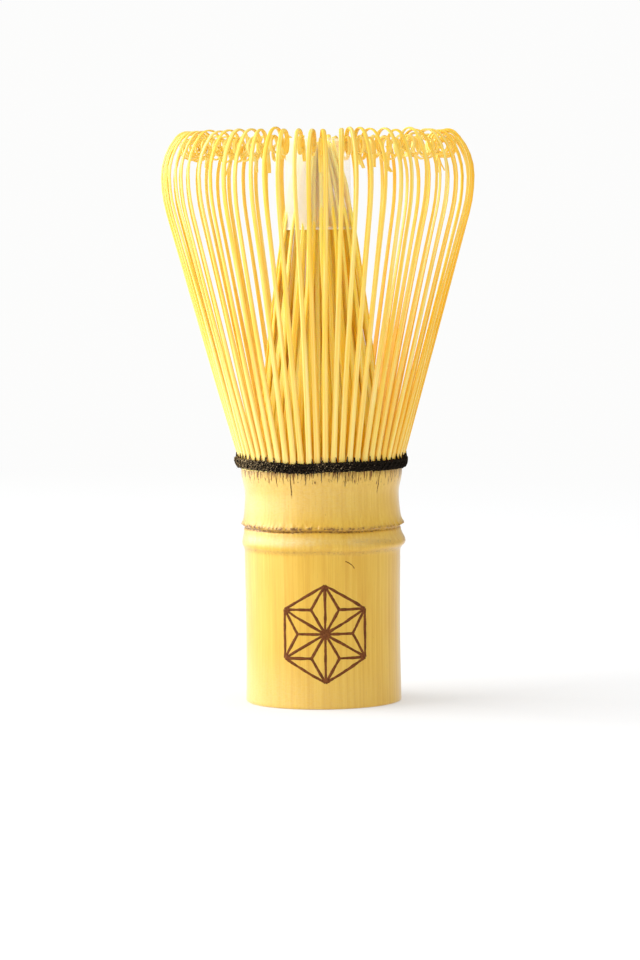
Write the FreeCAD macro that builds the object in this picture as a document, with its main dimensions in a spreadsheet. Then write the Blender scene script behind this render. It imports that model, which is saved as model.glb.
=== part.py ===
import FreeCAD, Part
import math
import os
import Sketcher
from FreeCAD import Placement, Rotation, Vector

# Bamboo tea whisk: one culm split into 16 staves of outer and inner tines, with a thread binding
# round their roots and a sleeve over the tips of the inner tines.
#
# The origin is the centre of the cut end that the handle stands on, and +Z runs up through the
# tines. Lengths are in millimetres and angles in degrees.

STAVES = 16
X_AXIS = -1
Y_AXIS = -2
START = 1
END = 2

# Driving dimensions, one spreadsheet cell each.
DIMENSIONS = {
    # handle
    "handle_radius": 15.0,
    "bore_radius": 9.5,
    "bore_depth": 29.0,
    "node_wall": 3.0,
    "well_radius": 10.6,
    "neck_base": 35.8,
    "neck_curve": 22.0,
    "collar_base": 44.5,
    "collar_radius": 15.5,
    "crown_height": 45.4,
    "rim_chamfer": 0.35,
    # node ring: a round ridge with a sharp lip above it
    "ridge_middle": 31.0,
    "ridge_half": 2.0,
    "ridge_rise": 0.85,
    "lip_base": 33.8,
    "lip_edge": 34.5,
    "lip_top": 35.8,
    "lip_rise": 0.75,
    # splits that run down from the crown between the tines
    "split_width": 0.22,
    "split_depth": 2.2,
    "split_floor_radius": 14.0,
    # staves
    "stave_angle": 22.5,
    "tine_count": 4.0,
    # outer tines
    "outer_width": 1.2,
    "outer_tip_width": 0.72,
    "outer_thickness": 0.45,
    "outer_root_radius": 15.3,
    "outer_root_height": 45.6,
    "outer_splay": 15.6,
    "outer_straight": 50.3,
    "taper_start": 56.0,
    "taper_end": 94.0,
    "taper_margin": 0.05,
    "taper_overrun": 20.0,
    # inner tines
    "inner_angle": 4.6,
    "inner_thickness": 0.45,
    "inner_root_radius": 12.55,
    "inner_lean": 5.0,
    "inner_tip_lean": 13.0,
    "inner_straight": 14.6,
    "inner_bend": 200.0,
    "inner_length": 58.6,
    # binding thread
    "lashing_base": 44.7,
    "lashing_top": 47.8,
    "lashing_slack": 0.22,
    "lashing_thickness": 0.45,
    "lashing_flare": 0.8,
    "inner_lashing_radius": 13.6,
    "inner_lashing_thread": 0.55,
    "inner_lashing_curve": 0.63,
    "knot_length": 0.95,
    "knot_rise": 0.76,
    "knot_depth": 0.665,
    "knot_middle": 46.3,
    # sleeve over the tips of the inner tines
    "sleeve_base": 91.1,
    "sleeve_length": 17.5,
    "sleeve_radius": 6.65,
    "sleeve_top_radius": 6.15,
    "sleeve_wall": 0.3,
}

# The outer tines' tips curl inwards through these arcs, from the root side to the tip.
CURL = [
    {"name": "lift", "radius": 27.0, "sweep": 15.6},
    {"name": "shoulder", "radius": 11.5, "sweep": 40.0},
    {"name": "crest", "radius": 3.0, "sweep": 50.0},
    {"name": "loop", "radius": 2.35, "sweep": 180.0},
    {"name": "tip", "radius": 1.75, "sweep": 170.0},
]

document = FreeCAD.newDocument("tea_whisk")


def dimension_sheet():
    """The spreadsheet of driving dimensions, with one alias for each."""
    cells = dict(DIMENSIONS)
    for arc in CURL:
        cells[f"{arc['name']}_radius"] = arc["radius"]
        cells[f"{arc['name']}_sweep"] = arc["sweep"]
    table = document.addObject("Spreadsheet::Sheet", "dims")
    for row, (alias, number) in enumerate(cells.items(), start=1):
        table.set(f"A{row}", alias)
        table.set(f"B{row}", str(number))
        table.setAlias(f"B{row}", alias)
    document.recompute()
    return table


sheet = dimension_sheet()


def size(expression):
    """The number that an expression over the sheet's cells gives now."""
    found = sheet.evalExpression(expression)
    return float(getattr(found, "Value", found))


def new_body(label):
    body = document.addObject("PartDesign::Body", label)
    body.Label = label
    return body


def origin_feature(body, role):
    return next(item for item in body.Origin.OriginFeatures if item.Role == role)


def new_sketch(body, name, role):
    """A sketch on one of the body's own origin planes."""
    sketch = body.newObject("Sketcher::SketchObject", f"{body.Name}_{name}")
    sketch.AttachmentSupport = [(origin_feature(body, role), "")]
    sketch.MapMode = "FlatFace"
    return sketch


def bind(sketch, name, expression, kind, *where):
    """Adds a dimension to a sketch and ties it to an expression over the sheet."""
    number = math.radians(size(expression)) if kind == "Angle" else size(expression)
    sketch.addConstraint(Sketcher.Constraint(kind, *where, number))
    index = sketch.ConstraintCount - 1
    sketch.renameConstraint(index, name)
    unit = " * 1 deg" if kind == "Angle" else " * 1 mm"
    sketch.setExpression(f"Constraints.{name}", f"({expression}){unit}")


def place_point(sketch, name, geometry, point, across, up):
    """Ties a point of a sketch to a distance across and a distance up from the origin."""
    for kind, axis, expression in (("DistanceX", "x", across), ("DistanceY", "y", up)):
        if size(expression) == 0.0:
            line = Y_AXIS if kind == "DistanceX" else X_AXIS
            sketch.addConstraint(Sketcher.Constraint("PointOnObject", geometry, point, line))
        else:
            bind(sketch, f"{name}_{axis}", expression, kind, X_AXIS, START, geometry, point)


def add_outline(sketch, corners, arcs=None):
    """Adds a closed outline through corners, each a pair of expressions: across and up.

    arcs gives, for the side that starts at a corner's number, the radius of its arc and the side
    the arc bulges to: 1 to the right of the direction of travel, -1 to the left.
    """
    arcs = arcs or {}
    first = sketch.GeometryCount
    points = [Vector(size(across), size(up), 0) for across, up in corners]
    count = len(points)
    for side, start in enumerate(points):
        end = points[(side + 1) % count]
        if side not in arcs:
            sketch.addGeometry(Part.LineSegment(start, end))
            continue
        radius_expression, bulge = arcs[side]
        radius = size(radius_expression)
        chord = end - start
        right = Vector(chord.y, -chord.x, 0).normalize()
        rise = radius - math.sqrt(radius**2 - (chord.Length / 2) ** 2)
        middle = (start + end) * 0.5 + right * (bulge * rise)
        sketch.addGeometry(Part.Arc(start, middle, end))
    # An arc is always stored anticlockwise, so one that runs clockwise has its ends swapped.
    starts = [END if side in arcs and arcs[side][1] < 0 else START for side in range(count)]
    for side in range(count):
        after = (side + 1) % count
        ends = (first + side, START + END - starts[side], first + after, starts[after])
        sketch.addConstraint(Sketcher.Constraint("Coincident", *ends))
    for side, (across, up) in enumerate(corners, start=first):
        place_point(sketch, f"corner{side}", side, starts[side - first], across, up)
    for side, (radius_expression, _) in arcs.items():
        bind(sketch, f"arc{first + side}", radius_expression, "Radius", first + side)


def outline(body, name, role, corners, arcs=None):
    """A sketch of one closed outline on one of the body's own origin planes."""
    sketch = new_sketch(body, name, role)
    add_outline(sketch, corners, arcs)
    return sketch


def revolve(body, name, sketch, angle="360"):
    """Turns an outline about the body's Z axis, evenly to both sides of its plane."""
    feature = body.newObject("PartDesign::Revolution", f"{body.Name}_{name}")
    feature.Profile = sketch
    feature.ReferenceAxis = (sketch, ["V_Axis"])
    feature.Midplane = True
    feature.setExpression("Angle", angle)
    return feature


def round_pocket(body, name, radius, start, depth, upwards):
    """A round blind hole on the Z axis, from a height and up or down from there."""
    sketch = new_sketch(body, f"{name}_circle", "XY_Plane")
    sketch.setExpression("AttachmentOffset.Base.z", f"{start} * 1 mm")
    sketch.addGeometry(Part.Circle(Vector(0, 0, 0), Vector(0, 0, 1), size(radius)))
    sketch.addConstraint(Sketcher.Constraint("Coincident", 0, 3, X_AXIS, START))
    bind(sketch, "radius", radius, "Radius", 0)
    pocket = body.newObject("PartDesign::Pocket", f"{body.Name}_{name}")
    pocket.Profile = sketch
    pocket.setExpression("Length", f"({depth}) * 1 mm")
    pocket.Reversed = upwards
    return pocket


def repeat(body, name, originals, angle, count):
    """Repeats features about the Z axis. The angle is from the first copy to the last."""
    pattern = body.newObject("PartDesign::PolarPattern", f"{body.Name}_{name}")
    pattern.Originals = originals
    pattern.Axis = (origin_feature(body, "Z_Axis"), [""])
    pattern.setExpression("Angle", angle)
    pattern.setExpression("Occurrences", count)
    body.Tip = pattern
    return pattern


def turn_to_stave(body, number):
    """Places a stave's first tine so that the stave's middle is half a stave past its edge."""
    body.Placement = Placement(Vector(0, 0, 0), Rotation(Vector(0, 0, 1), 1))
    pitch = "dims.stave_angle / dims.tine_count"
    body.setExpression(
        "Placement.Rotation.Angle",
        f"{number - 1} * dims.stave_angle + {pitch} / 2",
    )


def handle():
    """The round part of the culm, hollow to its node from below and from above."""
    body = new_body("handle")
    shape = outline(
        body,
        "profile",
        "XZ_Plane",
        [
            ("0", "0"),
            ("dims.handle_radius", "0"),
            ("dims.handle_radius", "dims.neck_base"),
            ("dims.collar_radius", "dims.collar_base"),
            ("dims.collar_radius", "dims.crown_height"),
            ("0", "dims.crown_height"),
        ],
        arcs={2: ("dims.neck_curve", -1)},
    )
    revolve(body, "culm", shape)

    ridge_radius = "(dims.ridge_half ^ 2 + dims.ridge_rise ^ 2) / (2 * dims.ridge_rise)"
    inside = "dims.handle_radius - dims.ridge_rise"
    low = "dims.ridge_middle - dims.ridge_half"
    high = "dims.ridge_middle + dims.ridge_half"
    ridge = outline(
        body,
        "ridge_profile",
        "XZ_Plane",
        [(inside, low), ("dims.handle_radius", low), ("dims.handle_radius", high), (inside, high)],
        arcs={1: (ridge_radius, 1)},
    )
    revolve(body, "ridge", ridge)

    lip = outline(
        body,
        "lip_profile",
        "XZ_Plane",
        [
            (inside, "dims.lip_base"),
            ("dims.handle_radius", "dims.lip_base"),
            ("dims.handle_radius + dims.lip_rise", "dims.lip_edge"),
            ("dims.handle_radius", "dims.lip_top"),
            (inside, "dims.lip_top"),
        ],
    )
    revolve(body, "lip", lip)

    bore = round_pocket(body, "bore", "dims.bore_radius", "0", "dims.bore_depth", upwards=True)
    document.recompute()
    rims = [
        f"Edge{number}"
        for number, edge in enumerate(bore.Shape.Edges, start=1)
        if abs(edge.BoundBox.ZMax) < 1e-3
    ]
    chamfer = body.newObject("PartDesign::Chamfer", "handle_rims")
    chamfer.Base = (bore, rims)
    chamfer.setExpression("Size", "dims.rim_chamfer * 1 mm")
    body.Tip = chamfer
    crown = "dims.crown_height"
    well_depth = f"{crown} - dims.bore_depth - dims.node_wall"
    round_pocket(body, "well", "dims.well_radius", crown, well_depth, upwards=False)

    half = "dims.split_width / 2"
    below = f"{crown} - dims.split_depth"
    above = f"{crown} + dims.split_depth"
    opening = outline(
        body,
        "split_outline",
        "YZ_Plane",
        [(f"-{half}", below), (half, below), (half, above), (f"-{half}", above)],
    )
    opening.setExpression("AttachmentOffset.Base.z", "dims.split_floor_radius * 1 mm")
    split = body.newObject("PartDesign::Pocket", "handle_split")
    split.Profile = opening
    split.Reversed = True
    split.setExpression("Length", "dims.handle_radius * 1 mm")
    splits = f"{STAVES} * dims.tine_count"
    repeat(body, "splits", [split], f"360 - 360 / ({splits})", splits)
    return body


def curl_spine(body):
    """The middle line of an outer tine: straight out from the root, then inwards through CURL."""
    sketch = new_sketch(body, "spine", "XZ_Plane")
    heading = math.radians(90 - size("dims.outer_splay"))
    root = Vector(size("dims.outer_root_radius"), size("dims.outer_root_height"), 0)
    ahead = Vector(math.cos(heading), math.sin(heading), 0)
    point = root + ahead * size("dims.outer_straight")
    sketch.addGeometry(Part.LineSegment(root, point))
    for arc in CURL:
        left = Vector(-math.sin(heading), math.cos(heading), 0)
        centre = point + left * arc["radius"]
        first = heading - math.pi / 2
        last = first + math.radians(arc["sweep"])
        circle = Part.Circle(centre, Vector(0, 0, 1), arc["radius"])
        sketch.addGeometry(Part.ArcOfCircle(circle, first, last))
        point = centre + Vector(math.cos(last), math.sin(last), 0) * arc["radius"]
        heading += math.radians(arc["sweep"])
    for number, arc in enumerate(CURL, start=1):
        joint = Sketcher.Constraint("Tangent", number - 1, END, number, START)
        sketch.addConstraint(joint)
        name = arc["name"]
        bind(sketch, f"{name}_radius", f"dims.{name}_radius", "Radius", number)
        bind(sketch, f"{name}_sweep", f"dims.{name}_sweep", "Angle", number)
    place_point(sketch, "root", 0, START, "dims.outer_root_radius", "dims.outer_root_height")
    bind(sketch, "straight", "dims.outer_straight", "Distance", 0)
    bind(sketch, "heading", "90 - dims.outer_splay", "Angle", 0)
    return sketch


def outer_tines(number):
    """One stave's outer tines: curled blades that taper towards their tips."""
    body = new_body(f"outer_tines_{number:02d}")
    spine = curl_spine(body)

    width = "dims.outer_width / 2"
    depth = "dims.outer_thickness / 2"
    section = outline(
        body,
        "section",
        "XY_Plane",
        [(f"-{depth}", f"-{width}"), (depth, f"-{width}"), (depth, width), (f"-{depth}", width)],
    )
    section.AttachmentOffset = Placement(Vector(0, 0, 0), Rotation(Vector(0, 1, 0), 1))
    section.setExpression("AttachmentOffset.Base.x", "dims.outer_root_radius * 1 mm")
    section.setExpression("AttachmentOffset.Base.z", "dims.outer_root_height * 1 mm")
    section.setExpression("AttachmentOffset.Rotation.Angle", "dims.outer_splay")

    blade = body.newObject("PartDesign::AdditivePipe", f"{body.Name}_blade")
    blade.Profile = section
    blade.Spine = (spine, [])
    blade.Mode = "Frenet"

    taper = new_sketch(body, "taper_outline", "YZ_Plane")
    tip = "dims.outer_tip_width / 2"
    beyond = f"{width} + dims.taper_margin"
    above = "dims.taper_end + dims.taper_overrun"
    for side in (-1, 1):
        corners = [
            (width, "dims.taper_start"),
            (beyond, "dims.taper_start"),
            (beyond, above),
            (tip, above),
            (tip, "dims.taper_end"),
        ]
        add_outline(taper, [(f"{side} * ({across})", up) for across, up in corners])
    cut = body.newObject("PartDesign::Pocket", f"{body.Name}_taper")
    cut.Profile = taper
    cut.Type = "ThroughAll"
    cut.Midplane = True

    repeat(
        body,
        "row",
        [blade, cut],
        "dims.stave_angle - dims.stave_angle / dims.tine_count",
        "dims.tine_count",
    )
    turn_to_stave(body, number)
    return body


def inner_tines(number):
    """One stave's inner tines: straight wedges that lean in and gather into a cone."""
    body = new_body(f"inner_tines_{number:02d}")
    lean = "dims.inner_lean"
    tip_lean = "dims.inner_tip_lean"
    bend_out = "dims.inner_root_radius"
    foot = "dims.crown_height"
    knee_out = f"{bend_out} - dims.inner_straight * tan({lean} * 1 deg)"
    knee_up = f"{foot} + dims.inner_straight"
    arc_in = f"dims.inner_bend * (cos({lean} * 1 deg) - cos({tip_lean} * 1 deg))"
    arc_up = f"dims.inner_bend * (sin({tip_lean} * 1 deg) - sin({lean} * 1 deg))"
    neck_out = f"{knee_out} - {arc_in}"
    neck_up = f"{knee_up} + {arc_up}"
    tip_up = f"{foot} + dims.inner_length"
    tip_out = f"{neck_out} - ({tip_up} - ({neck_up})) * tan({tip_lean} * 1 deg)"
    outer_side = [(bend_out, foot), (knee_out, knee_up), (neck_out, neck_up), (tip_out, tip_up)]
    inner_side = [(f"{out} - dims.inner_thickness", up) for out, up in reversed(outer_side)]
    shape = outline(
        body,
        "profile",
        "XZ_Plane",
        outer_side + inner_side,
        arcs={1: ("dims.inner_bend", 1), 5: ("dims.inner_bend", -1)},
    )
    blade = revolve(body, "blade", shape, "dims.inner_angle")
    repeat(
        body,
        "row",
        [blade],
        "dims.stave_angle - dims.stave_angle / dims.tine_count",
        "dims.tine_count",
    )
    turn_to_stave(body, number)
    return body


def outer_lashing():
    """The thread wound round the roots of the outer tines, standing on the collar."""
    body = new_body("outer_lashing")
    slack = "dims.collar_radius + dims.lashing_slack"
    top = f"{slack} + dims.lashing_flare"
    step = "dims.crown_height + dims.lashing_slack"
    shape = outline(
        body,
        "profile",
        "XZ_Plane",
        [
            ("dims.collar_radius", "dims.lashing_base"),
            (f"{slack} + dims.lashing_thickness", "dims.lashing_base + dims.lashing_slack"),
            (f"{top} + dims.lashing_thickness", "dims.lashing_top"),
            (top, "dims.lashing_top"),
            (slack, step),
            ("dims.collar_radius", "dims.crown_height"),
        ],
    )
    revolve(body, "band", shape)
    return body


def inner_lashing():
    """The thread's run between the outer and the inner tines, lying on the crown."""
    body = new_body("inner_lashing")
    thread = "dims.inner_lashing_thread"
    middle = "dims.inner_lashing_radius"
    foot = "dims.crown_height"
    shape = outline(
        body,
        "profile",
        "XZ_Plane",
        [
            (f"{middle} - {thread}", foot),
            (f"{middle} + {thread}", foot),
            (f"{middle} + {thread}", f"{foot} + {thread}"),
            (f"{middle} - {thread}", f"{foot} + {thread}"),
        ],
        arcs={2: ("dims.inner_lashing_curve", 1)},
    )
    revolve(body, "ring", shape)
    return body


def thread_knot():
    """The knot where the thread's ends are tied, on the back of the binding."""
    body = new_body("thread_knot")
    ball = body.newObject("PartDesign::AdditiveEllipsoid", "thread_knot_ball")
    ball.setExpression("Radius1", "dims.knot_rise * 1 mm")
    ball.setExpression("Radius2", "dims.knot_length * 1 mm")
    ball.setExpression("Radius3", "dims.knot_depth * 1 mm")
    body.setExpression(
        "Placement.Base.y",
        "(dims.collar_radius + dims.lashing_flare + dims.lashing_thickness) * 1 mm",
    )
    body.setExpression("Placement.Base.z", "dims.knot_middle * 1 mm")
    return body


def tip_sleeve():
    """The thin open sleeve that keeps the tips of the inner tines together."""
    body = new_body("tip_sleeve")
    top = "dims.sleeve_base + dims.sleeve_length"
    shape = outline(
        body,
        "profile",
        "XZ_Plane",
        [
            ("dims.sleeve_radius - dims.sleeve_wall", "dims.sleeve_base"),
            ("dims.sleeve_radius", "dims.sleeve_base"),
            ("dims.sleeve_top_radius", top),
            ("dims.sleeve_top_radius - dims.sleeve_wall", top),
        ],
    )
    revolve(body, "wall", shape)
    return body


def check(bodies):
    """Stops if any object failed to build or any sub-part isn't a sound solid."""
    for item in document.Objects:
        if {"Invalid", "Error"} & set(item.State):
            raise SystemExit(f"{item.Label} is {item.State}: {item.getStatusString()}")
    for body in bodies:
        if body.Shape.isNull() or not body.Shape.isValid() or not body.Shape.Solids:
            raise SystemExit(f"{body.Label} has no valid solid")


numbers = range(1, STAVES + 1)
parts = [handle()]
parts += [outer_tines(number) for number in numbers]
parts += [inner_tines(number) for number in numbers]
parts += [outer_lashing(), inner_lashing(), thread_knot(), tip_sleeve()]
document.recompute()
check(parts)

os.makedirs("parts", exist_ok=True)
for part in parts:
    part.Shape.exportStep(f"parts/{part.Label}.step")
    print(part.Label, len(part.Shape.Solids), "solids,", round(part.Shape.Volume, 2), "mm3")
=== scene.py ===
import math

import bpy
import numpy as np
from mathutils import Matrix, Vector


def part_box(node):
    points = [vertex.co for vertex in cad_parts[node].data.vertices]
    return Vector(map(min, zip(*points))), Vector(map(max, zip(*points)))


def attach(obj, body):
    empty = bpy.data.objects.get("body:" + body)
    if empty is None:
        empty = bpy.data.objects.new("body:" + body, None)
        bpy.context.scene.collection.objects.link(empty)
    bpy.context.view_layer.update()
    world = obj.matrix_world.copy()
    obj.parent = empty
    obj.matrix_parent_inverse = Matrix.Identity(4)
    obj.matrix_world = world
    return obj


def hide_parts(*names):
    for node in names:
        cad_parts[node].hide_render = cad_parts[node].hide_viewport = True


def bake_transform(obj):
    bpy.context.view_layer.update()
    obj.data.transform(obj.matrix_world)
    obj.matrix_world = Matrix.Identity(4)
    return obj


# Looks of a bamboo tea whisk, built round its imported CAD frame. The pieces are worked out in
# millimetres and degrees, with the front towards -Y and azimuths counted from +X towards +Y, and
# become objects in metres in the frame's own coordinates.

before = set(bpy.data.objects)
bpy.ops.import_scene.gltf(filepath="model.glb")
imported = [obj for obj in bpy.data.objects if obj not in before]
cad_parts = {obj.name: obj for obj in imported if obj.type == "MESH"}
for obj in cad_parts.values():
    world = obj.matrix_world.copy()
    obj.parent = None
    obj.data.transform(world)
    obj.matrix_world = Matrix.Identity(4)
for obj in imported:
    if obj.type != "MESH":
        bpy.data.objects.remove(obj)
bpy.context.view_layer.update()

MM = 0.001
FRONT = -90.0
LEFT = FRONT - 90.0
STAVES = 16
TINES_PER_STAVE = 4
TINES = STAVES * TINES_PER_STAVE
TINE_PITCH = 360.0 / TINES
SURROUND = (0.975, 0.975, 0.97)


def node_size(node):
    """A node's greatest reach along X, its lowest and its highest point."""
    low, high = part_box(node)
    return high[0] / MM, low[2] / MM, high[2] / MM


RIDGE_REACH, _, CROWN = node_size("handle")
SLEEVE_RADIUS, SLEEVE_BASE, SLEEVE_TOP = node_size("tip_sleeve")
_, BAND_BASE, _ = node_size("outer_lashing")
_, INNER_ROOT, _ = node_size("inner_tines_01")
_, _, TINES_TOP = node_size("outer_tines_01")

# culm: the node's ridge and the lip over it, the neck, the bore below and the well above
RIDGE_RISE = 0.85
CULM_RADIUS = RIDGE_REACH - RIDGE_RISE
COLLAR_RADIUS = CULM_RADIUS + 0.5
WAIST_TOP = 27.0
RIDGE_HEIGHT = 31.0
LIP_HEIGHT = 34.5
LIP_RISE = 0.7
NECK_HEIGHT = 40.0
NECK_FLARE = 40.5
SPLITS_FROM = 40.0
BORE_RADIUS = 9.5
BORE_TOP = 29.0
WELL_RADIUS = 10.6
WELL_FLOOR = 32.0
RIM_EDGE = 0.12

# outer tines: root, straight run and the arcs of the curl as radius and sweep
ROOT_RADIUS = COLLAR_RADIUS - 0.27
ROOT_HEIGHT = 45.25
ROOT_WIDTH = 1.08
ROOT_DEPTH = 0.58
SPLAY = 15.6
STRAIGHT = 51.0
CURL = [(27.0, 15.6), (11.5, 40.0), (3.0, 50.0), (2.35, 180.0), (1.75, 170.0)]
CURL_TOP = TINES_TOP - 0.25
HANGING_SHARE = 0.6
HANGING_LOOP = (1.6, 245.0)
HANGING_RADIUS = 10.0

# inner tines
INNER_RADIUS = 12.3
INNER_LEAN = 5.0
INNER_WIDTH = 1.18
INNER_DEPTH = 0.42
CORE_RADIUS = 3.0
LAYERS = (0, 2, 1, 3)

# thread
THREAD = 0.34
BAND_MIDDLE = 46.2
BAND_ROUNDS = 3
ROUND_RISE = 0.6
LOOSE_FIBRES = 700


def unit(vectors):
    return vectors / np.linalg.norm(vectors, axis=-1, keepdims=True)


def smooth_step(value, start, end):
    """0 up to start, 1 from end on, and smooth in between."""
    share = np.clip((np.asarray(value, float) - start) / (end - start), 0.0, 1.0)
    return share * share * (3.0 - 2.0 * share)


def bell(offset, width):
    """1 where the offset is 0, and close to 0 from twice the width on."""
    return np.exp(-((offset / width) ** 2))


def bulge(height, top):
    """An arch over the heights from 0 to top, and 0 above."""
    return np.sin(np.pi * np.clip(height / top, 0, 1))


def facing(azimuth, side):
    """1 where the azimuth is that of the side, and -1 opposite."""
    return np.cos(np.radians(azimuth - side))


def apart(azimuth, middle):
    """The signed angle from middle to azimuth, from -180 to 180."""
    return (np.asarray(azimuth, float) - middle + 180.0) % 360.0 - 180.0


def around(azimuth, radius, height):
    """Points at azimuths in degrees, distances from the Z axis and heights."""
    turn = np.radians(azimuth)
    parts = np.broadcast_arrays(np.cos(turn) * radius, np.sin(turn) * radius, height)
    return np.stack(parts, axis=-1).astype(float)


def waves(seed, orders, power=1.0):
    """A smooth function of an angle in degrees with values of about -1 to 1, of the given orders."""
    dice = np.random.default_rng(seed)
    orders = np.asarray(list(orders), float)
    phases = dice.uniform(0, 2 * np.pi, len(orders))
    weights = dice.uniform(0.4, 1.0, len(orders)) / orders**power
    weights /= np.sqrt((weights**2).sum())

    def value(angle):
        turns = np.radians(np.asarray(angle, float))[..., None] * orders + phases
        return (np.cos(turns) * weights).sum(axis=-1)

    return value


def tine_azimuth(stave, number):
    """The azimuth of a tine's middle, for the numbers of its stave and in its stave, from 0."""
    return (stave * TINES_PER_STAVE + number + 0.5) * TINE_PITCH


def run_along(path):
    """The length of a path up to each of its points."""
    steps = np.linalg.norm(np.diff(path, axis=0), axis=1)
    return np.concatenate([[0.0], np.cumsum(steps)])


# ---- surfaces


class Shell:
    """Collects the surfaces of one piece, with what its material needs at each point.

    grain is a place along the bamboo's fibres in mm (across, deep, along). tint deepens the colour
    and the paling number pales it; each material uses them in its own way, and on the bamboo and the
    culm they carry painted shade and painted light as well as the surface's own colour.
    """

    def __init__(self):
        self.points, self.faces, self.grain, self.tint, self.pale_skin_and_painted_light = [], [], [], [], []
        self.count = 0

    def add(self, points, faces, grain, tint, pale_skin_and_painted_light=0.0):
        self.faces += [tuple(corner + self.count for corner in face) for face in faces]
        self.points.append(points)
        self.grain.append(np.broadcast_to(grain, points.shape))
        self.tint.append(np.broadcast_to(tint, len(points)))
        self.pale_skin_and_painted_light.append(np.broadcast_to(pale_skin_and_painted_light, len(points)))
        self.count += len(points)

    def build(self, name, material, sharp=None):
        """Makes the piece. Edges of more than sharp degrees are shaded as edges."""
        mesh = bpy.data.meshes.new(name)
        mesh.from_pydata(np.concatenate(self.points) * MM, [], self.faces)
        grain = mesh.attributes.new("grain", "FLOAT_VECTOR", "POINT")
        grain.data.foreach_set("vector", np.concatenate(self.grain).ravel())
        for label, numbers in (("tint", self.tint), ("pale_skin_and_painted_light", self.pale_skin_and_painted_light)):
            layer = mesh.attributes.new(label, "FLOAT", "POINT")
            layer.data.foreach_set("value", np.concatenate(numbers).astype(float))
        mesh.materials.append(material)
        mesh.shade_smooth()
        if sharp is not None:
            mesh.set_sharp_from_angle(angle=math.radians(sharp))
        piece = bpy.data.objects.new(name, mesh)
        bpy.context.scene.collection.objects.link(piece)
        return piece


def tube_faces(rings, sides, closed=False):
    """Quads between rings of points that follow each other. An open tube gets a cap on each end."""
    faces = []
    for ring in range(rings if closed else rings - 1):
        here, there = ring * sides, (ring + 1) % rings * sides
        for side in range(sides):
            after = (side + 1) % sides
            faces.append((here + side, here + after, there + after, there + side))
    if not closed:
        faces.append(tuple(reversed(range(sides))))
        faces.append(tuple(range((rings - 1) * sides, rings * sides)))
    return faces


# How much deeper in colour each corner of a blade is: the cut flanks are the deepest, partly the
# colour of the cut flesh and partly painted shade for the narrow gaps between the tines.
CORNER_TINTS = (-0.15, 0.05, 0.9, -0.1, -0.1, 0.9, 0.05, -0.15)


def add_blade(shell, path, face, half_width, half_depth, origin, tint, shaved, pale_skin_and_painted_light=0.0):
    """A flat blade that looks along face, with shaved front edges and broken back edges."""
    along = unit(np.gradient(path, axis=0))
    across = unit(np.cross(face, along))
    face = np.cross(along, across)
    width = np.broadcast_to(half_width, len(path)).astype(float)
    depth = np.broadcast_to(half_depth, len(path)).astype(float)
    cut = np.minimum(0.05, 0.3 * depth)
    facet = np.minimum(shaved, 0.6 * width)
    lower = depth - np.minimum(facet, 1.2 * depth)
    corners = [
        (width - facet, depth),
        (width, lower),
        (width, cut - depth),
        (width - cut, -depth),
        (cut - width, -depth),
        (-width, cut - depth),
        (-width, lower),
        (facet - width, depth),
    ]
    run = run_along(path)
    points = [path + across * w[:, None] + face * d[:, None] for w, d in corners]
    grain = [np.stack([w, d, run], axis=-1) + origin for w, d in corners]
    points = np.stack(points, axis=1).reshape(-1, 3)
    grain = np.stack(grain, axis=1).reshape(-1, 3)
    tint = np.broadcast_to(tint, len(path))[:, None] + CORNER_TINTS
    tint = np.clip(tint, 0, 1.2).ravel()
    pale_skin_and_painted_light = np.repeat(np.broadcast_to(pale_skin_and_painted_light, len(path)), len(corners))
    shell.add(points, tube_faces(len(path), len(corners)), grain, tint, pale_skin_and_painted_light)


# A nudge that keeps a strand's outward direction from vanishing on the Z axis.
OFF_AXIS = (1e-6, 0, 1e-6)


def add_strand(shell, path, radius, tint=0.5, sides=6, closed=False, fuzz=0.0, seed=0):
    """A round strand of thread. radius may change along the path, and fuzz roughens it."""
    ends = np.roll(path, -1, axis=0) - np.roll(path, 1, axis=0)
    along = unit(ends if closed else np.gradient(path, axis=0))
    outward = path * (1, 1, 0) + OFF_AXIS
    across = unit(np.cross(along, outward))
    up = np.cross(across, along)
    radius = np.broadcast_to(radius, len(path)).astype(float)[:, None]
    turns = np.linspace(0, 2 * np.pi, sides, endpoint=False)
    points = [path + (across * math.cos(t) + up * math.sin(t)) * radius for t in turns]
    points = np.stack(points, axis=1).reshape(-1, 3)
    points = points + np.random.default_rng(seed).normal(0, fuzz, points.shape)
    if np.ndim(tint):
        tint = np.repeat(tint, sides)
    shell.add(points, tube_faces(len(path), sides, closed=closed), points, tint)


# ---- materials

BLACK, WHITE = (0, 0, 0), (1, 1, 1)


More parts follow.
